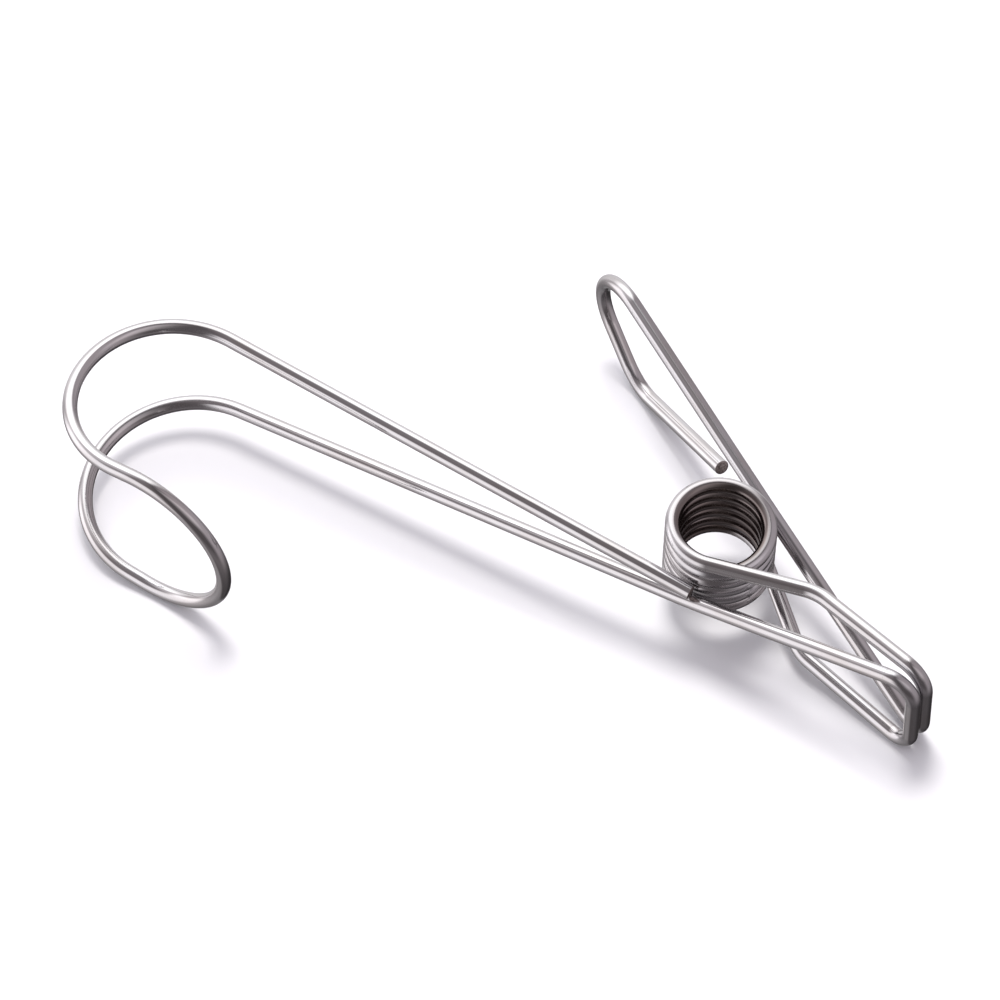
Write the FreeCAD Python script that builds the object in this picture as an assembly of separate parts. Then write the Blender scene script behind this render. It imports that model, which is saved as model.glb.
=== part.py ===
"""Long-tailed wire clothespin: one bent stainless wire, with a torsion coil between its two arms.

Frame: origin at the middle of the coil, +Z up from the surface that the clip lies on, +X towards
the jaws.  The wire is laid out in the clip's own frame, where the coil's axis is Z, and then laid
down as it rests: on its noses, its hook's tip loop and the far corner of its thumb loop.

Every node is one length of the wire, cut square where one bend or straight meets the next.
"""
import FreeCAD, Part
import math
import os
from FreeCAD import Matrix, Placement, Rotation, Vector

# ---- wire (mm, degrees) ----------------------------------------------------------------------
WIRE_D = 2.0
WIRE_R = WIRE_D / 2

# ---- spring coil -----------------------------------------------------------------------------
COIL_R = 6.25           # coil axis to the wire's centre
COIL_PITCH = 2.03       # close wound
COIL_WHOLE_TURNS = 5    # and the part turn that carries the wire from one leg round to the other

# ---- jaws: bend corners on the wire's centre line ----------------------------------------------
HEEL_X = 15.75          # where each coil leg turns into a jaw bar
HEEL_Y = 1.1
HEEL_BEND_R = 7.0
NOSE_X = 35.05          # the upright tips that grip the cloth
NOSE_Y = 1.1            # leaves 0.2 between the closed noses
NOSE_LEAN = -0.65       # the top of each nose lies this much nearer the coil
NOSE_BEND_R = 3.2
FRONT_NOSE_Z = (-6.2, 9.2)
REAR_NOSE_Z = (-6.5, 8.35)

# ---- elbows: where each arm passes the coil ----------------------------------------------------
FRONT_ELBOW = Vector(2.85, -8.23, -0.57)
REAR_ELBOW = Vector(0.28, 8.6, -0.19)
ELBOW_BEND_R = 25.0

# ---- hook: a long hairpin, bent round a mandrel -------------------------------------------------
HOOK_HEADING = 194.36   # plan direction of the hairpin's middle line
HOOK_SLOPE = -3.74
HOOK_TWIST = 2.34       # turn of the bend axis about the middle line
HOOK_STRAND_ANGLE = 5.69    # each strand spreads this much from the middle line
HOOK_STRAND_GAP = 2.06  # strand centres apart beside the coil
HOOK_STRAIGHT = 69.1    # along the middle line, elbow to the start of the bend
HOOK_BEND_R = 13.4
HOOK_BEND_ANGLE = 178.3
HOOK_TIP_CENTRE = 114.5     # along the middle line, to the centre of the tip's half circle
HOOK_FREE_END = 0.0     # along the middle line, to the cut end beside the coil

# ---- thumb loop: lies in an upright plane, (along, up) from the rear elbow ---------------------
THUMB_HEADING = 165.99
THUMB_SLOPE = 5.9
THUMB_FAR = 55.1        # along, to the corner of the main leg and the end bar
THUMB_FAR_BEND_R = 6.65
THUMB_CORNER = (31.24, -14.27)
THUMB_CORNER_BEND_R = 6.0
THUMB_FREE_END = (10.75, -5.49)

# ---- how the clip lies: turns that bring its three resting points level ------------------------
LEAN_TO_JAWS = 6.53     # about Y
LEAN_TO_HOOK = 1.04     # about X


def direction(heading, slope):
    """Unit vector at a heading in plan and a slope, both in degrees."""
    turn, rise = math.radians(heading), math.radians(slope)
    return Vector(math.cos(rise) * math.cos(turn), math.cos(rise) * math.sin(turn), math.sin(rise))


def unit(vector):
    return Vector(vector).normalize()


def frame_at(point, x_dir, y_dir, z_dir):
    """Placement whose axes are three perpendicular unit vectors."""
    return Placement(Matrix(x_dir.x, y_dir.x, z_dir.x, point.x,
                            x_dir.y, y_dir.y, z_dir.y, point.y,
                            x_dir.z, y_dir.z, z_dir.z, point.z,
                            0, 0, 0, 1))


def section(centre, normal):
    """The wire's round section, as a wire that a sweep can follow."""
    return Part.Wire(Part.makeCircle(WIRE_R, centre, normal))


def rod(start, end):
    """A straight length of wire."""
    return Part.makeCylinder(WIRE_R, (end - start).Length, start, end - start)


def arc_rod(start, tangent, centre, axis, angle):
    """A length of wire bent to a circle."""
    return Part.Face(section(start, tangent)).revolve(centre, axis, angle)


def helix_rod(radius, pitch, turns, left_handed=False):
    """A length of wire bent to a helix about Z that starts on +X."""
    path = Part.Wire(Part.makeHelix(pitch, pitch * turns, radius, 0, left_handed).Edges)
    rise = math.atan2(pitch, 2 * math.pi * radius)
    turn = -math.cos(rise) if left_handed else math.cos(rise)
    profile = section(Vector(radius, 0, 0), Vector(0, turn, math.sin(rise)))
    return path.makePipeShell([profile], True, True)


def joined(pieces):
    """Lengths that meet end to end, as one solid."""
    return pieces[0].multiFuse(pieces[1:]).removeSplitter().Solids[0]


def bent_route(points, radii):
    """The straight lengths and the bends of a wire through points, with a radius at each corner."""
    straights, bends = [], []
    run_start = points[0]
    for before, corner, after, radius in zip(points, points[1:], points[2:], radii):
        back, ahead = unit(before - corner), unit(after - corner)
        turn = math.pi - back.getAngle(ahead)
        setback = radius * math.tan(turn / 2)
        bend_start, bend_end = corner + back * setback, corner + ahead * setback
        centre = corner + unit(back + ahead) * (radius / math.cos(turn / 2))
        axis = unit((back * -1).cross(ahead))
        straights.append(rod(run_start, bend_start))
        bends.append(arc_rod(bend_start, back * -1, centre, axis, math.degrees(turn)))
        run_start = bend_end
    straights.append(rod(run_start, points[-1]))
    return straights, bends


# ---- coil and its two legs ----------------------------------------------------------------------
COIL_RISE = COIL_PITCH / (2 * math.pi * COIL_R)     # rise per length of plan
LEG_LENGTH = math.sqrt(HEEL_X ** 2 + HEEL_Y ** 2 - COIL_R ** 2)
TANGENT_ANGLE = math.acos(COIL_R / math.hypot(HEEL_X, HEEL_Y)) - math.atan2(HEEL_Y, HEEL_X)
COIL_TURNS = COIL_WHOLE_TURNS + 1 - TANGENT_ANGLE / math.pi
COIL_HALF_HEIGHT = COIL_PITCH * COIL_TURNS / 2

coil_start = Vector(COIL_R * math.cos(TANGENT_ANGLE), COIL_R * math.sin(TANGENT_ANGLE), -COIL_HALF_HEIGHT)
coil_end = Vector(coil_start.x, -coil_start.y, COIL_HALF_HEIGHT)
HEEL_Z = COIL_HALF_HEIGHT + COIL_RISE * LEG_LENGTH


def coil():
    solid = helix_rod(COIL_R, COIL_PITCH, COIL_TURNS)
    solid.Placement = Placement(Vector(0, 0, -COIL_HALF_HEIGHT),
                                Rotation(Vector(0, 0, 1), math.degrees(TANGENT_ANGLE)))
    return solid


# ---- hook ---------------------------------------------------------------------------------------
hook_along = direction(HOOK_HEADING, HOOK_SLOPE)
level_left = direction(HOOK_HEADING + 90, 0)
hook_across = Rotation(hook_along, HOOK_TWIST).multVec(hook_along.cross(level_left))
hook_inward = hook_across.cross(hook_along)
hook_origin = FRONT_ELBOW + hook_across * (HOOK_STRAND_GAP / 2)
STRAND_SPREAD = math.tan(math.radians(HOOK_STRAND_ANGLE))
HOOK_BEND_END = HOOK_STRAIGHT + HOOK_BEND_R * math.radians(HOOK_BEND_ANGLE)


def half_gap(along):
    """Middle line to either strand's centre."""
    return HOOK_STRAND_GAP / 2 + along * STRAND_SPREAD


def hook_point(along, side):
    """A strand's centre on the straight of the hook; side is 1 for the upper strand, -1 for the lower."""
    return hook_origin + hook_along * along + hook_across * (side * half_gap(along))


def hook_bend(side):
    """One strand round the mandrel: a helix, because the strands spread all the way."""
    pitch = 2 * math.pi * HOOK_BEND_R * STRAND_SPREAD
    solid = helix_rod(HOOK_BEND_R, pitch, HOOK_BEND_ANGLE / 360, left_handed=side < 0)
    centre = hook_point(HOOK_STRAIGHT, side) + hook_inward * HOOK_BEND_R
    solid.Placement = frame_at(centre, hook_inward * -1, hook_along * side, hook_across * side)
    return solid


def hook_tip_loop():
    """The round end of the hairpin, flat in the plane that the bend leaves in."""
    turn = math.radians(HOOK_BEND_ANGLE)
    mandrel = hook_origin + hook_along * HOOK_STRAIGHT + hook_inward * HOOK_BEND_R
    outward = hook_along * math.sin(turn) - hook_inward * math.cos(turn)
    onward = hook_along * math.cos(turn) + hook_inward * math.sin(turn)
    flat = frame_at(mandrel + outward * HOOK_BEND_R, onward, hook_across, onward.cross(hook_across))

    spread = math.radians(HOOK_STRAND_ANGLE)
    centre = Vector(HOOK_TIP_CENTRE - HOOK_BEND_END, 0, 0)
    radius = half_gap(HOOK_TIP_CENTRE) * math.cos(spread)
    low = centre + Vector(-math.sin(spread), -math.cos(spread), 0) * radius
    ahead = Vector(math.cos(spread), -math.sin(spread), 0)
    lower = rod(Vector(0, -half_gap(HOOK_BEND_END), 0), low)
    round_end = arc_rod(low, ahead, centre, Vector(0, 0, 1), 180 + 2 * HOOK_STRAND_ANGLE)
    high = Vector(low.x, -low.y, 0)
    upper = rod(high, Vector(0, half_gap(HOOK_BEND_END), 0))
    solid = joined([lower, round_end, upper])
    solid.Placement = flat
    return solid


# ---- front arm: lower coil leg, front jaw, hook -------------------------------------------------
def front_arm():
    points = [coil_start,
              Vector(HEEL_X, -HEEL_Y, -HEEL_Z),
              Vector(NOSE_X, -NOSE_Y, FRONT_NOSE_Z[0]),
              Vector(NOSE_X + NOSE_LEAN, -NOSE_Y, FRONT_NOSE_Z[1]),
              FRONT_ELBOW,
              hook_point(HOOK_STRAIGHT, -1)]
    straights, bends = bent_route(points, [HEEL_BEND_R, NOSE_BEND_R, NOSE_BEND_R, ELBOW_BEND_R])
    return {
        "lower_spring_leg": straights[0],
        "front_jaw_heel": bends[0],
        "front_jaw_lower_bar": straights[1],
        "front_jaw_nose": joined([bends[1], straights[2], bends[2]]),
        "front_jaw_upper_bar": straights[3],
        "front_arm_elbow": bends[3],
        "hook_main_leg": straights[4],
        "hook_lower_bend": hook_bend(-1),
        "hook_tip_loop": hook_tip_loop(),
        "hook_upper_bend": hook_bend(1),
        "hook_free_leg": rod(hook_point(HOOK_FREE_END, 1), hook_point(HOOK_STRAIGHT, 1)),
    }


# ---- rear arm: upper coil leg, rear jaw, thumb loop ---------------------------------------------
def thumb_point(along, up):
    return REAR_ELBOW + direction(THUMB_HEADING, 0) * along + Vector(0, 0, up)


def rear_arm():
    points = [coil_end,
              Vector(HEEL_X, HEEL_Y, HEEL_Z),
              Vector(NOSE_X + NOSE_LEAN, NOSE_Y, REAR_NOSE_Z[1]),
              Vector(NOSE_X, NOSE_Y, REAR_NOSE_Z[0]),
              REAR_ELBOW,
              thumb_point(THUMB_FAR, THUMB_FAR * math.tan(math.radians(THUMB_SLOPE))),
              thumb_point(*THUMB_CORNER),
              thumb_point(*THUMB_FREE_END)]
    straights, bends = bent_route(points, [HEEL_BEND_R, NOSE_BEND_R, NOSE_BEND_R, ELBOW_BEND_R,
                                           THUMB_FAR_BEND_R, THUMB_CORNER_BEND_R])
    return {
        "upper_spring_leg": straights[0],
        "rear_jaw_heel": bends[0],
        "rear_jaw_upper_bar": straights[1],
        "rear_jaw_nose": joined([bends[1], straights[2], bends[2]]),
        "rear_jaw_lower_bar": straights[3],
        "rear_arm_elbow": bends[3],
        "thumb_main_leg": straights[4],
        "thumb_loop_bend": bends[4],
        "thumb_end_bar": straights[5],
        "thumb_corner_bend": bends[5],
        "thumb_free_leg": straights[6],
    }


def main():
    laid_down = Placement(Vector(0, 0, 0),
                          Rotation(Vector(1, 0, 0), LEAN_TO_HOOK).multiply(Rotation(Vector(0, 1, 0), LEAN_TO_JAWS)))
    nodes = {"spring_coil": coil(), **front_arm(), **rear_arm()}
    os.makedirs("parts", exist_ok=True)
    for name, solid in nodes.items():
        solid.Placement = laid_down.multiply(solid.Placement)
        solid.exportStep(f"parts/{name}.step")


main()
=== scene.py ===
"""Looks of the long-tailed wire clothespin: one drawn stainless wire, swept along its real line.

The wire is laid out in millimetres in the clip's own frame, where the coil's axis is Z, with the
driving dimensions of the CAD part, and is then leaned as the clip rests and scaled to metres.
"""

import math

import bpy
import numpy as np
from mathutils import Matrix, Vector


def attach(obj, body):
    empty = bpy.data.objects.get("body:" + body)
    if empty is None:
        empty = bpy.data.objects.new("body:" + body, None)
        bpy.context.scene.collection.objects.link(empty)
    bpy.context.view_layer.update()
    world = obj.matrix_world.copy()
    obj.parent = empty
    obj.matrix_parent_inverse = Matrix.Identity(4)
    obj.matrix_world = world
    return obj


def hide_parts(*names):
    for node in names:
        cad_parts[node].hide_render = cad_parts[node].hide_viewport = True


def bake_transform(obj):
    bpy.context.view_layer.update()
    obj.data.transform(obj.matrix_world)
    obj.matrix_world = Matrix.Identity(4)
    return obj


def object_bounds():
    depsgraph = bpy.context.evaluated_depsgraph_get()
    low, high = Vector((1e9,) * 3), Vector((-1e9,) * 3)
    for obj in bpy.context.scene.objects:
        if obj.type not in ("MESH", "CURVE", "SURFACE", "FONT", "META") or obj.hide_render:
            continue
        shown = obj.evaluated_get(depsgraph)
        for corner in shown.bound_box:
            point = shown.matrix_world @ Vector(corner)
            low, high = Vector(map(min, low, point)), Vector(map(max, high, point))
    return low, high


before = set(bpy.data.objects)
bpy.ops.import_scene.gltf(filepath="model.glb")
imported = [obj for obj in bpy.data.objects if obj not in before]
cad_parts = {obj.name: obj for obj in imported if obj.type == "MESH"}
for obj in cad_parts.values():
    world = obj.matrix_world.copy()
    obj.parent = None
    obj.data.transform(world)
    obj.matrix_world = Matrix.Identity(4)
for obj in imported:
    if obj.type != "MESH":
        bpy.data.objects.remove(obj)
cad_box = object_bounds()

MM = 0.001

# ---- wire (mm, degrees) ----------------------------------------------------------------------
WIRE_R = 1.0
COIL_R = 6.25
COIL_PITCH = 2.03
COIL_WHOLE_TURNS = 5

HEEL_X, HEEL_Y, HEEL_BEND_R = 15.75, 1.1, 7.0
NOSE_X, NOSE_Y, NOSE_LEAN, NOSE_BEND_R = 35.05, 1.1, -0.65, 3.2
FRONT_NOSE_Z = (-6.2, 9.2)
REAR_NOSE_Z = (-6.5, 8.35)
FRONT_ELBOW = np.array([2.85, -8.23, -0.57])
REAR_ELBOW = np.array([0.28, 8.6, -0.19])
ELBOW_BEND_R = 25.0

HOOK_HEADING, HOOK_SLOPE, HOOK_TWIST = 194.36, -3.74, 2.34
HOOK_STRAND_ANGLE = 5.69
HOOK_STRAND_GAP = 2.06
HOOK_STRAIGHT = 69.1
HOOK_BEND_R, HOOK_BEND_ANGLE = 13.4, 178.3
HOOK_TIP_CENTRE = 114.5

THUMB_HEADING, THUMB_SLOPE = 165.99, 5.9
THUMB_FAR, THUMB_FAR_BEND_R = 55.1, 6.65
THUMB_CORNER, THUMB_CORNER_BEND_R = (31.24, -14.27), 6.0
THUMB_FREE_END = (10.75, -5.49)

LEAN_TO_JAWS, LEAN_TO_HOOK = 6.53, 1.04

# ---- mesh fineness -----------------------------------------------------------------------------
RING_POINTS = 56
STEP_STRAIGHT = 0.6     # mm between rings on a straight
STEP_BEND = 3.0         # degrees between rings on a bend

# ---- camera: the reference view ----------------------------------------------------------------
CAMERA_AIM = Vector((-23.0, -16.6, 5.1)) * MM
CAMERA_DISTANCE = 676.5 * MM
CAMERA_HEADING = -39.7      # degrees from +X, the side that the camera stands on
CAMERA_ELEVATION = 54.2
CAMERA_ROLL = 5.8
CAMERA_LENS = 189.6         # mm on a 36 mm sensor
CAMERA_SENSOR = 36.0


# ================================================================================================
# Vectors
# ================================================================================================
UP = np.array([0.0, 0.0, 1.0])


def unit(vector):
    return vector / np.linalg.norm(vector)


def direction(heading, slope):
    """Unit vector at a heading in plan and a slope, both in degrees."""
    turn, rise = math.radians(heading), math.radians(slope)
    return np.array([math.cos(rise) * math.cos(turn), math.cos(rise) * math.sin(turn), math.sin(rise)])


def turned(vectors, axis, degrees):
    """Vectors turned about a unit axis."""
    angle = np.radians(degrees)
    cos, sin = np.cos(angle), np.sin(angle)
    vectors = np.atleast_2d(vectors)
    return (vectors * np.atleast_1d(cos)[:, None]
            + np.cross(axis, vectors) * np.atleast_1d(sin)[:, None]
            + np.outer(vectors @ axis, axis) * (1 - np.atleast_1d(cos))[:, None])


LEAN = np.array(Matrix.Rotation(math.radians(LEAN_TO_HOOK), 3, "X")
                @ Matrix.Rotation(math.radians(LEAN_TO_JAWS), 3, "Y"))


# ================================================================================================
# The wire's centre line: each section is (points, tangents)
# ================================================================================================
def straight(start, end):
    """A straight run between two points."""
    count = max(2, math.ceil(np.linalg.norm(end - start) / STEP_STRAIGHT) + 1)
    share = np.linspace(0, 1, count)[:, None]
    points = start + (end - start) * share
    return points, np.tile(unit(end - start), (count, 1))


def arc(start, tangent, centre, axis, degrees, climb=0.0):
    """A circular bend, or a helix that climbs that far along its axis."""
    count = math.ceil(abs(degrees) / STEP_BEND) + 1
    share = np.linspace(0, 1, count)
    points = centre + turned(start - centre, axis, degrees * share) + np.outer(share * climb, axis)
    radius = np.linalg.norm(np.cross(start - centre, axis))
    rise = climb / (radius * math.radians(abs(degrees)))
    around = turned(tangent, axis, degrees * share)
    tangents = (around + rise * axis) / math.sqrt(1 + rise ** 2)
    return points, tangents


def joined(*sections):
    """Sections end to end, without the points that they share."""
    return (np.vstack([sections[0][0]] + [s[0][1:] for s in sections[1:]]),
            np.vstack([sections[0][1]] + [s[1][1:] for s in sections[1:]]))


def backwards(section):
    """The same section, followed the other way."""
    return section[0][::-1], -section[1][::-1]


def bent_route(points, radii):
    """The straights and the bends of a wire through points, with a radius at each corner."""
    straights, bends = [], []
    run_start = points[0]
    for before, corner, after, radius in zip(points, points[1:], points[2:], radii):
        back, ahead = unit(before - corner), unit(after - corner)
        turn = math.pi - math.acos(np.clip(back @ ahead, -1, 1))
        setback = radius * math.tan(turn / 2)
        bend_start = corner + back * setback
        centre = corner + unit(back + ahead) * (radius / math.cos(turn / 2))
        axis = unit(np.cross(-back, ahead))
        straights.append(straight(run_start, bend_start))
        bends.append(arc(bend_start, -back, centre, axis, math.degrees(turn)))
        run_start = corner + ahead * setback
    straights.append(straight(run_start, points[-1]))
    return straights, bends


# ---- coil ---------------------------------------------------------------------------------------
COIL_RISE = COIL_PITCH / (2 * math.pi * COIL_R)
LEG_LENGTH = math.sqrt(HEEL_X ** 2 + HEEL_Y ** 2 - COIL_R ** 2)
TANGENT_ANGLE = math.acos(COIL_R / math.hypot(HEEL_X, HEEL_Y)) - math.atan2(HEEL_Y, HEEL_X)
COIL_TURNS = COIL_WHOLE_TURNS + 1 - TANGENT_ANGLE / math.pi
COIL_HALF_HEIGHT = COIL_PITCH * COIL_TURNS / 2
COIL_START = np.array([COIL_R * math.cos(TANGENT_ANGLE), COIL_R * math.sin(TANGENT_ANGLE),
                       -COIL_HALF_HEIGHT])
COIL_END = np.array([COIL_START[0], -COIL_START[1], COIL_HALF_HEIGHT])
HEEL_Z = COIL_HALF_HEIGHT + COIL_RISE * LEG_LENGTH


def coil_section():
    centre = np.array([0.0, 0.0, -COIL_HALF_HEIGHT])
    around = unit(np.cross(UP, COIL_START - centre))
    return arc(COIL_START, around, centre, UP, 360 * COIL_TURNS, climb=2 * COIL_HALF_HEIGHT)


# ---- hook ---------------------------------------------------------------------------------------
HOOK_ALONG = direction(HOOK_HEADING, HOOK_SLOPE)
HOOK_ACROSS = turned(np.cross(HOOK_ALONG, direction(HOOK_HEADING + 90, 0)), HOOK_ALONG, HOOK_TWIST)[0]
HOOK_INWARD = np.cross(HOOK_ACROSS, HOOK_ALONG)
HOOK_ORIGIN = FRONT_ELBOW + HOOK_ACROSS * (HOOK_STRAND_GAP / 2)
STRAND_SPREAD = math.tan(math.radians(HOOK_STRAND_ANGLE))
HOOK_BEND_END = HOOK_STRAIGHT + HOOK_BEND_R * math.radians(HOOK_BEND_ANGLE)


def half_gap(along):
    """Half the distance between the hook's two strands, that far along them."""
    return HOOK_STRAND_GAP / 2 + along * STRAND_SPREAD


def hook_point(along, side):
    """A point on the upper strand (side 1) or the lower one (side -1), before the hook's bend."""
    return HOOK_ORIGIN + HOOK_ALONG * along + HOOK_ACROSS * (side * half_gap(along))


def hook_bend(side):
    """One strand round the hook's bend, towards the tip."""
    start = hook_point(HOOK_STRAIGHT, side)
    climb = HOOK_BEND_R * math.radians(HOOK_BEND_ANGLE) * STRAND_SPREAD * side
    return arc(start, HOOK_ALONG, start + HOOK_INWARD * HOOK_BEND_R, HOOK_ACROSS, HOOK_BEND_ANGLE, climb)


def hook_tip_section():
    """The round end, from the upper bend to the lower one."""
    turn = math.radians(HOOK_BEND_ANGLE)
    onward = HOOK_ALONG * math.cos(turn) + HOOK_INWARD * math.sin(turn)
    outward = HOOK_ALONG * math.sin(turn) - HOOK_INWARD * math.cos(turn)
    base = HOOK_ORIGIN + HOOK_ALONG * HOOK_STRAIGHT + (HOOK_INWARD + outward) * HOOK_BEND_R
    spread = math.radians(HOOK_STRAND_ANGLE)
    centre = base + onward * (HOOK_TIP_CENTRE - HOOK_BEND_END)
    radius = half_gap(HOOK_TIP_CENTRE) * math.cos(spread)
    high = centre + (HOOK_ACROSS * math.cos(spread) - onward * math.sin(spread)) * radius
    ahead = onward * math.cos(spread) + HOOK_ACROSS * math.sin(spread)
    round_end = arc(high, ahead, centre, np.cross(HOOK_ACROSS, onward), 180 + 2 * HOOK_STRAND_ANGLE)
    upper = base + HOOK_ACROSS * half_gap(HOOK_BEND_END)
    lower = base - HOOK_ACROSS * half_gap(HOOK_BEND_END)
    return joined(straight(upper, high), round_end, straight(round_end[0][-1], lower))


# ---- arms ---------------------------------------------------------------------------------------
def front_sections():
    """From the hook's free end to the coil."""
    points = [hook_point(HOOK_STRAIGHT, -1),
              FRONT_ELBOW,
              np.array([NOSE_X + NOSE_LEAN, -NOSE_Y, FRONT_NOSE_Z[1]]),
              np.array([NOSE_X, -NOSE_Y, FRONT_NOSE_Z[0]]),
              np.array([HEEL_X, -HEEL_Y, -HEEL_Z]),
              COIL_START]
    straights, bends = bent_route(points, [ELBOW_BEND_R, NOSE_BEND_R, NOSE_BEND_R, HEEL_BEND_R])
    return [("hook_free_leg", straight(hook_point(0, 1), hook_point(HOOK_STRAIGHT, 1))),
            ("hook_upper_bend", hook_bend(1)),
            ("hook_tip_loop", hook_tip_section()),
            ("hook_lower_bend", backwards(hook_bend(-1))),
            ("hook_main_leg", straights[0]),
            ("front_arm_elbow", bends[0]),
            ("front_jaw_upper_bar", straights[1]),
            ("front_jaw_nose", joined(bends[1], straights[2], bends[2])),
            ("front_jaw_lower_bar", straights[3]),
            ("front_jaw_heel", bends[3]),
            ("lower_spring_leg", straights[4])]


def thumb_point(along, up):
    """A point of the thumb loop's upright plane, measured from the rear elbow."""
    return REAR_ELBOW + direction(THUMB_HEADING, 0) * along + UP * up


def rear_sections():
    """From the coil to the thumb loop's free end."""
    points = [COIL_END,
              np.array([HEEL_X, HEEL_Y, HEEL_Z]),
              np.array([NOSE_X + NOSE_LEAN, NOSE_Y, REAR_NOSE_Z[1]]),
              np.array([NOSE_X, NOSE_Y, REAR_NOSE_Z[0]]),
              REAR_ELBOW,
              thumb_point(THUMB_FAR, THUMB_FAR * math.tan(math.radians(THUMB_SLOPE))),
              thumb_point(*THUMB_CORNER),
              thumb_point(*THUMB_FREE_END)]
    straights, bends = bent_route(points, [HEEL_BEND_R, NOSE_BEND_R, NOSE_BEND_R, ELBOW_BEND_R,
                                           THUMB_FAR_BEND_R, THUMB_CORNER_BEND_R])
    return [("upper_spring_leg", straights[0]),
            ("rear_jaw_heel", bends[0]),
            ("rear_jaw_upper_bar", straights[1]),
            ("rear_jaw_nose", joined(bends[1], straights[2], bends[2])),
            ("rear_jaw_lower_bar", straights[3]),
            ("rear_arm_elbow", bends[3]),
            ("thumb_main_leg", straights[4]),
            ("thumb_loop_bend", bends[4]),
            ("thumb_end_bar", straights[5]),
            ("thumb_corner_bend", bends[5]),
            ("thumb_free_leg", straights[6])]


# ================================================================================================
# Materials
# ================================================================================================
def node_material(name):
    material = bpy.data.materials.new(name)
    material.use_nodes = True
    tree = material.node_tree
    return material, tree, tree.nodes["Principled BSDF"]


def add_node(tree, kind, **inputs):
    node = tree.nodes.new(kind)
    for socket, value in inputs.items():
        node.inputs[socket.replace("_", " ")].default_value = value
    return node


def wire_pattern(tree, stretch, scale, detail, roughness=0.5):
    """Noise in the wire's own coordinates, drawn out along the wire by stretch."""
    place = tree.nodes.new("ShaderNodeAttribute")
    place.attribute_name = "wire_place"
    mapping = tree.nodes.new("ShaderNodeMapping")
    mapping.inputs["Scale"].default_value = (1, 1, 1 / stretch)
    noise = add_node(tree, "ShaderNodeTexNoise", Scale=scale, Detail=detail, Roughness=roughness)
    tree.links.new(place.outputs["Vector"], mapping.inputs["Vector"])
    tree.links.new(mapping.outputs["Vector"], noise.inputs["Vector"])
    return noise.outputs["Fac"]


def remapped(tree, value, low, high, to_low, to_high):
    node = tree.nodes.new("ShaderNodeMapRange")
    for socket, number in zip(node.inputs[1:5], (low, high, to_low, to_high)):
        socket.default_value = number
    tree.links.new(value, node.inputs["Value"])
    return node.outputs["Result"]


def mixed_colour(tree, share, first, second):
    node = tree.nodes.new("ShaderNodeMix")
    node.data_type = "RGBA"
    for socket, colour in ((node.inputs["A"], first), (node.inputs["B"], second)):
        if isinstance(colour, tuple):
            socket.default_value = (*colour, 1)
        else:
            tree.links.new(colour, socket)
    tree.links.new(share, node.inputs["Factor"])
    return node.outputs["Result"]


def maths(tree, operation, first, second=0.0):
    node = tree.nodes.new("ShaderNodeMath")
    node.operation = operation
    for socket, value in zip(node.inputs, (first, second)):
        if isinstance(value, float):
            socket.default_value = value
        else:
            tree.links.new(value, socket)
    return node.outputs[0]


def bumped(tree, height, strength, distance, below=None):
    node = add_node(tree, "ShaderNodeBump", Strength=strength, Distance=distance)
    tree.links.new(height, node.inputs["Height"])
    if below is not None:
        tree.links.new(below, node.inputs["Normal"])
    return node.outputs["Normal"]


def surface_layer(tree, name):
    """A value that the wire's mesh stores at each vertex."""
    node = tree.nodes.new("ShaderNodeAttribute")
    node.attribute_name = name
    return node.outputs["Fac"]


STEEL_WARM, STEEL_COOL = (0.60, 0.575, 0.57), (0.67, 0.665, 0.68)
WORKED_STEEL = (0.46, 0.45, 0.47)
# Dark brown painted as shade into the coil's inside and into the grooves between its turns.
PAINTED_SHADE_COLOUR = (0.17, 0.14, 0.13)
TORN_DARK, TORN_BRIGHT = (0.22, 0.18, 0.165), (0.55, 0.50, 0.48)


def steel_colour(tree, wear):
    """Faintly stained steel, greyer in the bends, with dark brown painted shade in the coil's inside and
    in the grooves between its turns.
    """
    stains = wire_pattern(tree, stretch=5, scale=0.55, detail=4, roughness=0.6)
    clean = mixed_colour(tree, remapped(tree, stains, 0.35, 0.65, 0, 1), STEEL_WARM, STEEL_COOL)
    worked = mixed_colour(tree, remapped(tree, wear, 0, 1, 0, 0.5), clean, WORKED_STEEL)
    # Painted shade: the coil's inside and grooves are mixed towards the dark brown, a little patchy with
    # the stains.
    painted_shade = remapped(tree, surface_layer(tree, "painted_coil_shade"), 0.05, 0.75, 0, 1)
    patchy = remapped(tree, stains, 0.3, 0.7, 0.8, 1.0)
    return mixed_colour(tree, maths(tree, "MULTIPLY", painted_shade, patchy), worked, PAINTED_SHADE_COLOUR)


def drawn_steel():
    """Bright drawn stainless wire: lines left by the die, faint stains, duller where it was bent."""
    material, tree, shader = node_material("drawn_steel")
    die_lines = wire_pattern(tree, stretch=60, scale=2.6, detail=4)
    fine_lines = wire_pattern(tree, stretch=90, scale=14, detail=3)
    wear = surface_layer(tree, "bend_wear")
    line_gloss = remapped(tree, die_lines, 0.3, 0.7, 0.07, 0.15)
    bend_gloss = remapped(tree, wear, 0, 1, 0, 0.10)
    deep = bumped(tree, die_lines, 0.35, 0.006 * MM)
    tree.links.new(steel_colour(tree, wear), shader.inputs["Base Color"])
    tree.links.new(maths(tree, "ADD", line_gloss, bend_gloss), shader.inputs["Roughness"])
    tree.links.new(bumped(tree, fine_lines, 0.3, 0.001 * MM, deep), shader.inputs["Normal"])
    shader.inputs["Metallic"].default_value = 1.0
    return material


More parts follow.
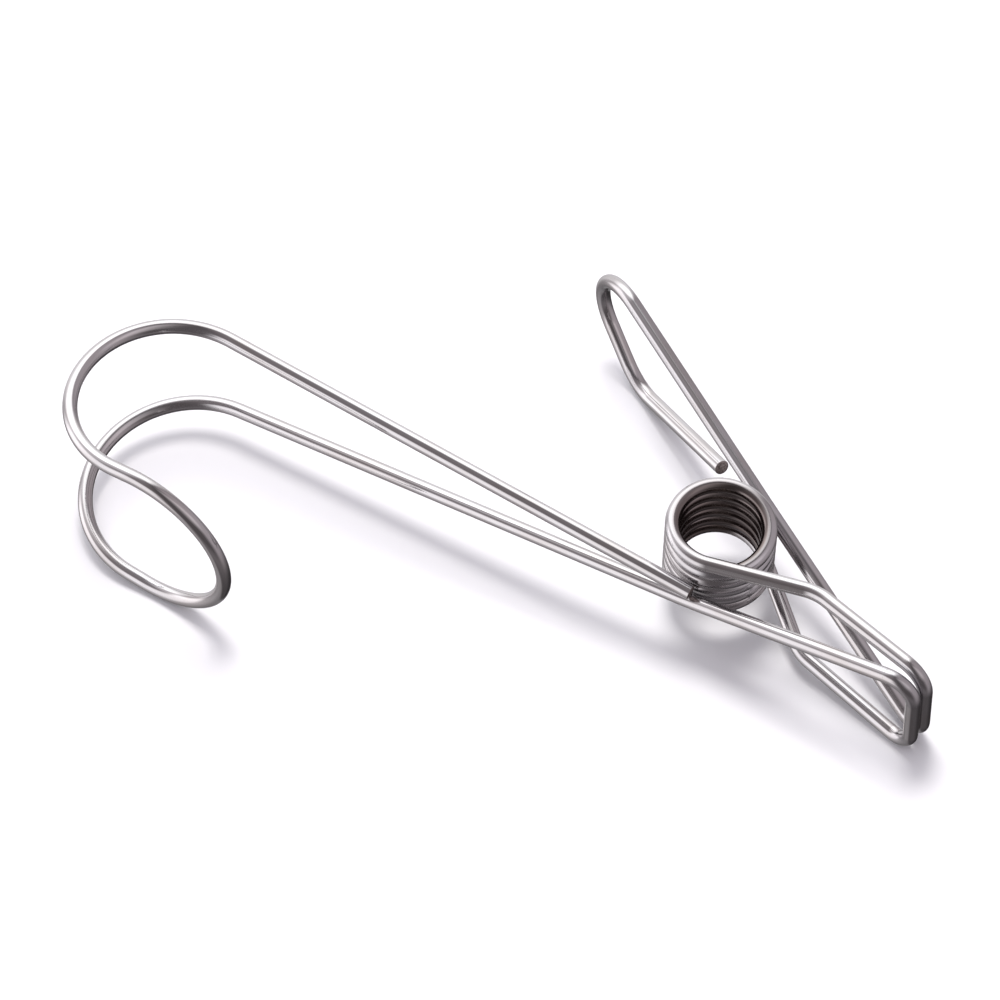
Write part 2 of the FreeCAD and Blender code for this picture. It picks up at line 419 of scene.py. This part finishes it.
def cut_steel():
    """The sheared face of a cut end: a torn, browner surface with a few bright flats."""
    material, tree, shader = node_material("cut_steel")
    torn = wire_pattern(tree, stretch=1, scale=3.5, detail=6, roughness=0.7)
    flats = remapped(tree, torn, 0.38, 0.62, 0, 1)
    tree.links.new(mixed_colour(tree, flats, TORN_DARK, TORN_BRIGHT), shader.inputs["Base Color"])
    tree.links.new(remapped(tree, torn, 0.35, 0.65, 0.55, 0.30), shader.inputs["Roughness"])
    tree.links.new(bumped(tree, torn, 0.7, 0.03 * MM), shader.inputs["Normal"])
    shader.inputs["Metallic"].default_value = 1.0
    return material


# ================================================================================================
# Sweeping the wire
# ================================================================================================
class Spool:
    """Carries the wire's length and its ring's starting side from one section to the next."""

    def __init__(self, first_tangent):
        self.length = 0.0
        self.side = unit(np.cross(first_tangent, UP))


def ring_frames(tangents, side):
    """A side vector at each ring, turned as little as the tangents allow."""
    sides = []
    for tangent in tangents:
        side = unit(side - tangent * (side @ tangent))
        sides.append(side)
    return np.array(sides)


def run_lengths(points):
    """Distance of each point along the wire from the first, in mm."""
    return np.concatenate([[0], np.cumsum(np.linalg.norm(np.diff(points, axis=0), axis=1))])


def bend_measure(points, tangents):
    """Curvature at each ring, per mm, and the unit direction to the bend's inside."""
    change = np.gradient(tangents, axis=0)
    run = np.gradient(run_lengths(points))
    curvature = np.linalg.norm(change, axis=1) / run
    inside = change / np.maximum(np.linalg.norm(change, axis=1), 1e-9)[:, None]
    return curvature, inside


def eased(values, lengths, run):
    """Values along the wire brought smoothly to nothing over a run, in mm, at both ends."""
    share = np.clip(np.minimum(lengths - lengths[0], lengths[-1] - lengths) / run, 0, 1)
    return values * share * share * (3 - 2 * share)


RING_ANGLES = np.linspace(0, 2 * math.pi, RING_POINTS, endpoint=False)
BEND_FLATTENING = 0.10      # a bent wire's section narrows by this much of wire radius / bend radius
TIGHT_BEND = 0.3            # curvature, per mm, of a bend that leaves full tool wear
WEAR_RUN = 2.0              # mm over which a bend's wear fades out
PAINTED_SHADE_RUN = 10.0             # mm over which the coil's painted shade fades out at its ends
PAINTED_SHADE_SPREAD = 0.35          # how far the painted shade reaches past the coil's inside, into the grooves between its turns
CUT_RINGS = 6
CUT_RIM = 0.94              # outermost ring of a cut face, as a share of the wire's radius
CUT_CENTRE = 0.98           # how far towards the middle the last ring of a cut face goes
CUT_DOME = 0.10             # mm that a cut face stands out in the middle
WIRE_SLOT, CUT_SLOT = 0, 1


def ring_directions(side, tangent):
    """Unit vectors from the wire's middle to each point of a ring."""
    return np.outer(np.cos(RING_ANGLES), side) + np.outer(np.sin(RING_ANGLES), np.cross(tangent, side))


def cut_face(centre, tangent, side):
    """Rings of a sheared end from the rim to the middle: domed and slightly torn, with a rolled rim."""
    rings = []
    for step in range(1, CUT_RINGS + 1):
        share = 1 - step / CUT_RINGS * CUT_CENTRE
        coarse_tear = 0.035 * np.sin(3 * RING_ANGLES + 7 * share)
        fine_tear = 0.02 * np.sin(11 * RING_ANGLES + 19 * share)
        rise = CUT_DOME * (1 - share ** 4) + (coarse_tear + fine_tear) * share
        spread = ring_directions(side, tangent) * (WIRE_R * CUT_RIM * share)
        rings.append(centre + spread + np.outer(rise, tangent))
    return rings


class WireSkin:
    """Vertices, faces and surface layers of one stretch of wire, added a ring at a time."""

    def __init__(self):
        self.rings, self.places, self.wear, self.painted_shade = [], [], [], []
        self.faces, self.slots = [], []

    def add_ring(self, ring, place, wear, painted_shade):
        """Adds a ring and gives the index of its first vertex."""
        first = RING_POINTS * len(self.rings)
        self.rings.append(ring)
        self.places.append(place)
        self.wear.append(np.full(RING_POINTS, wear))
        self.painted_shade.append(np.full(RING_POINTS, painted_shade))
        return first

    def add_band(self, first, second, slot, flip=False):
        """Adds the quads between the two rings that start at these vertices."""
        for i in range(RING_POINTS):
            j = (i + 1) % RING_POINTS
            self.add_face((first + i, first + j, second + j, second + i), slot, flip)

    def add_face(self, corners, slot, flip):
        self.faces.append(corners[::-1] if flip else corners)
        self.slots.append(slot)


def wrap_sides(skin, section, sides, lengths, has_painted_shade):
    """Adds the wire's side along a section, and gives the normals of its vertices."""
    points, tangents = section
    curvature, inside = bend_measure(points, tangents)
    wear = eased(np.minimum(1.0, curvature / TIGHT_BEND), lengths, WEAR_RUN)
    # Painted shade, on the coil only, faded out towards the coil's ends.
    painted_shade = eased(np.full(len(points), float(has_painted_shade)), lengths, PAINTED_SHADE_RUN)
    normals = []
    for step, (point, tangent, side, inward) in enumerate(zip(points, tangents, sides, inside)):
        radial = ring_directions(side, tangent)
        narrowing = BEND_FLATTENING * WIRE_R * curvature[step] * (radial @ inward) ** 2
        place = np.column_stack([np.cos(RING_ANGLES) * WIRE_R, np.sin(RING_ANGLES) * WIRE_R,
                                 np.full(RING_POINTS, lengths[step])])
        # Painted shade: full on the coil's inside, reaching round into the grooves between the turns.
        painted_shade_share = np.clip(radial @ inward + PAINTED_SHADE_SPREAD, 0, 1) * painted_shade[step]
        first = skin.add_ring(point + radial * (WIRE_R * (1 - narrowing))[:, None], place,
                              wear[step], painted_shade_share)
        if normals:
            skin.add_band(first - RING_POINTS, first, WIRE_SLOT)
        normals.append(radial)
    return np.vstack(normals)


def close_end(skin, ring, centre, outward, side, length, is_cut):
    """Closes the wire at one of its end rings: with a sheared face, or flat against the next stretch."""
    flip = ring == 0
    slot = CUT_SLOT if is_cut else WIRE_SLOT
    face_rings = cut_face(centre, outward, side) if is_cut else []
    last = ring * RING_POINTS
    for face_ring in face_rings:
        if flip:
            face_ring = np.roll(face_ring[::-1], 1, axis=0)
        first = skin.add_ring(face_ring, face_ring - centre + [0, 0, length], 1.0, 0.0)
        skin.add_band(last, first, slot, flip)
        last = first
    skin.add_face(tuple(range(last, last + RING_POINTS)), slot, flip)


def wire_mesh(name, skin, side_normals, steels):
    """The mesh of a skin, leaned as the clip rests, smooth round the side and flat on the ends."""
    mesh = bpy.data.meshes.new(name)
    mesh.from_pydata((np.vstack(skin.rings) @ LEAN.T * MM).tolist(), [], skin.faces)
    for steel in steels:
        mesh.materials.append(steel)
    mesh.polygons.foreach_set("material_index", skin.slots)
    mesh.polygons.foreach_set("use_smooth", [True] * len(skin.faces))
    place = mesh.attributes.new("wire_place", "FLOAT_VECTOR", "POINT")
    place.data.foreach_set("vector", np.vstack(skin.places).astype(np.float32).ravel())
    # bend_wear holds the bends' real wear; the second layer holds the coil's painted shade.
    for layer_name, values in (("bend_wear", skin.wear), ("painted_coil_shade", skin.painted_shade)):
        layer = mesh.attributes.new(layer_name, "FLOAT", "POINT")
        layer.data.foreach_set("value", np.concatenate(values).astype(np.float32))
    mesh.validate()
    leaned = side_normals @ LEAN.T
    side_faces = len(side_normals) - RING_POINTS
    corner_normals = []
    for polygon in mesh.polygons:
        on_side = polygon.index < side_faces
        for vertex in polygon.vertices:
            corner_normals.append(tuple(leaned[vertex]) if on_side else (0.0, 0.0, 0.0))
    mesh.normals_split_custom_set(corner_normals)
    mesh.update()
    return mesh


def swept_wire(name, section, spool, steels):
    """One stretch of wire, closed at both ends, that carries on from the stretch before it."""
    points, tangents = section
    sides = ring_frames(tangents, spool.side)
    lengths = spool.length + run_lengths(points)
    skin = WireSkin()
    normals = wrap_sides(skin, section, sides, lengths, name == "spring_coil")
    close_end(skin, 0, points[0], -tangents[0], sides[0], lengths[0], name == "hook_free_leg")
    close_end(skin, len(points) - 1, points[-1], tangents[-1], sides[-1], lengths[-1],
              name == "thumb_free_leg")
    spool.length, spool.side = lengths[-1], sides[-1]
    piece = bpy.data.objects.new(name + "_wire", wire_mesh(name, skin, normals, steels))
    bpy.context.scene.collection.objects.link(piece)
    return piece


def build_wire():
    """Every stretch of the wire, from the hook's free end to the thumb loop's."""
    steels = (drawn_steel(), cut_steel())
    front, rear = front_sections(), rear_sections()
    first_tangent = front[0][1][1][0]
    spool = Spool(first_tangent)
    front_names = [name for name, _ in front]
    for name, section in front + [("spring_coil", coil_section())] + rear:
        piece = swept_wire(name, section, spool, steels)
        if name == "spring_coil":
            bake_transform(piece)
        else:
            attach(piece, "hook_arm" if name in front_names else "thumb_arm")
        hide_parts(name)


# ================================================================================================
# Floor, light and camera
# ================================================================================================
FLOOR_SIZE = 3.0
CARD_COLOUR = (0.76, 0.76, 0.79, 1)


def build_floor():
    """A white card that the wire lies on. It takes shadows and isn't seen in the wire's reflections."""
    height = cad_box[0].z
    half = FLOOR_SIZE / 2
    corners = [(-half, -half, height), (half, -half, height), (half, half, height), (-half, half, height)]
    mesh = bpy.data.meshes.new("floor")
    mesh.from_pydata(corners, [], [(0, 1, 2, 3)])
    floor = bpy.data.objects.new("floor", mesh)
    bpy.context.scene.collection.objects.link(floor)
    material, _, shader = node_material("white_card")
    shader.inputs["Base Color"].default_value = CARD_COLOUR
    shader.inputs["Roughness"].default_value = 0.6
    shader.inputs["Specular IOR Level"].default_value = 0.2
    mesh.materials.append(material)
    floor.visible_glossy = False


KEY_DIRECTION = Vector((-0.25, 0.20, 1.0)).normalized()
KEY_DISTANCE = 0.8
KEY_SIZE = 0.28
KEY_POWER = 4.3
KEY_COLOUR = (1.0, 0.97, 0.93)
FILL_DIRECTION = Vector((0.0, 0.0, 1.0))
FILL_DISTANCE = 0.8
FILL_SIZE = 1.4
FILL_POWER = 3.5
FILL_COLOUR = (0.93, 0.93, 1.0)


def area_light(name, toward, distance, size, power, colour):
    """A round lamp that lights the floor. The wire mirrors the studio's panels and not the lamps."""
    light = bpy.data.lights.new(name, "AREA")
    light.shape = "DISK"
    light.size = size
    light.energy = power
    light.color = colour
    lamp = bpy.data.objects.new(name, light)
    lamp.location = toward * distance
    lamp.rotation_mode = "QUATERNION"
    lamp.rotation_quaternion = toward.to_track_quat("Z", "Y")
    lamp.visible_glossy = False
    bpy.context.scene.collection.objects.link(lamp)


ROOM_DARK = (0.125, 0.112, 0.118)
TABLE_FADE = (-75.0, 5.0)       # elevations between which everything darkens towards straight down
TABLE_SHARE = 0.28              # light left straight down
ROOM_BOTTOM, ROOM_TOP = -120.0, 120.0
# Panels round the table: heading from the camera's side, half width, soft edge, bottom, top, soft height
# and colour.
PANELS = (
    ("back_sheet", 188.0, 42.0, 12.0, 24.0, 70.0, 16.0, (1.00, 1.00, 1.01)),
    ("back_wall", 185.0, 38.0, 12.0, ROOM_BOTTOM, 74.0, 12.0, (0.88, 0.87, 0.88)),
    ("back_left", -112.0, 18.0, 22.0, ROOM_BOTTOM, 70.0, 14.0, (0.50, 0.49, 0.50)),
    ("left_box", -80.0, 42.0, 10.0, -20.0, 32.0, 9.0, (1.08, 1.06, 1.08)),
    ("left_wall", -90.0, 50.0, 25.0, ROOM_BOTTOM, ROOM_TOP, 1.0, (0.14, 0.125, 0.13)),
    ("left_table", -72.0, 26.0, 16.0, ROOM_BOTTOM, -20.0, 12.0, (0.62, 0.60, 0.61)),
    ("right_wall", 90.0, 50.0, 22.0, -35.0, 70.0, 20.0, (0.36, 0.325, 0.345)),
    ("right_lamp", 45.0, 30.0, 22.0, 22.0, 78.0, 12.0, (0.34, 0.32, 0.33)),
    ("front_table", 10.0, 60.0, 40.0, ROOM_BOTTOM, -25.0, 15.0, (0.20, 0.185, 0.195)),
)


def node_colour(tree, colour):
    """A constant colour, as a vector."""
    node = tree.nodes.new("ShaderNodeCombineXYZ")
    for socket, value in zip(node.inputs, colour):
        socket.default_value = value
    return node.outputs[0]


def scaled_colour(tree, share, colour):
    node = tree.nodes.new("ShaderNodeVectorMath")
    node.operation = "SCALE"
    tree.links.new(colour, node.inputs[0])
    tree.links.new(share, node.inputs["Scale"])
    return node.outputs[0]


def added_colour(tree, first, second):
    node = tree.nodes.new("ShaderNodeVectorMath")
    node.operation = "ADD"
    tree.links.new(first, node.inputs[0])
    tree.links.new(second, node.inputs[1])
    return node.outputs[0]


def smooth_share(tree, value, low, high):
    """0 at the angle low and 1 at the angle high, smooth between; both in degrees."""
    node = tree.nodes.new("ShaderNodeMapRange")
    node.interpolation_type = "SMOOTHSTEP"
    node.inputs["From Min"].default_value = math.radians(low)
    node.inputs["From Max"].default_value = math.radians(high)
    tree.links.new(value, node.inputs["Value"])
    return node.outputs["Result"]


def build_world():
    """A studio: dark on the camera's side and overhead, with white panels behind and at the left."""
    world = bpy.data.worlds.new("studio")
    bpy.context.scene.world = world
    world.use_nodes = True
    tree = world.node_tree
    background = tree.nodes["Background"]
    coords = tree.nodes.new("ShaderNodeTexCoord")
    parts = tree.nodes.new("ShaderNodeSeparateXYZ")
    tree.links.new(coords.outputs["Generated"], parts.inputs[0])
    azimuth = maths(tree, "ARCTAN2", parts.outputs["Y"], parts.outputs["X"])
    elevation = maths(tree, "ARCSINE", parts.outputs["Z"])
    room = node_colour(tree, ROOM_DARK)
    for _, heading, half_width, soft_edge, bottom, top, soft_height, colour in PANELS:
        off = maths(tree, "SUBTRACT", azimuth, math.radians(CAMERA_HEADING + heading))
        away = maths(tree, "ARCCOSINE", maths(tree, "COSINE", off))
        across = smooth_share(tree, away, half_width + soft_edge, half_width - soft_edge)
        under_top = smooth_share(tree, elevation, top + soft_height, top - soft_height)
        over_bottom = smooth_share(tree, elevation, bottom - soft_height, bottom + soft_height)
        share = maths(tree, "MULTIPLY", across, maths(tree, "MULTIPLY", under_top, over_bottom))
        room = added_colour(tree, room, scaled_colour(tree, share, node_colour(tree, colour)))
    above = smooth_share(tree, elevation, *TABLE_FADE)
    level = remapped(tree, above, 0.0, 1.0, TABLE_SHARE, 1.0)
    tree.links.new(scaled_colour(tree, level, room), background.inputs["Color"])


def build_camera():
    data = bpy.data.cameras.new("camera")
    data.lens = CAMERA_LENS
    data.sensor_width = CAMERA_SENSOR
    data.clip_start = 0.01
    data.clip_end = 10
    camera = bpy.data.objects.new("camera", data)
    back = Vector(direction(CAMERA_HEADING, CAMERA_ELEVATION))
    level = back.to_track_quat("Z", "Y")
    roll = Matrix.Rotation(math.radians(-CAMERA_ROLL), 3, "Z").to_quaternion()
    camera.rotation_mode = "QUATERNION"
    camera.rotation_quaternion = level @ roll
    camera.location = CAMERA_AIM + back * CAMERA_DISTANCE
    bpy.context.scene.collection.objects.link(camera)
    bpy.context.scene.camera = camera


build_wire()
build_floor()
build_world()
area_light("key", KEY_DIRECTION, KEY_DISTANCE, KEY_SIZE, KEY_POWER, KEY_COLOUR)
area_light("fill", FILL_DIRECTION, FILL_DISTANCE, FILL_SIZE, FILL_POWER, FILL_COLOUR)
build_camera()
bpy.context.scene.view_settings.view_transform = "Standard"
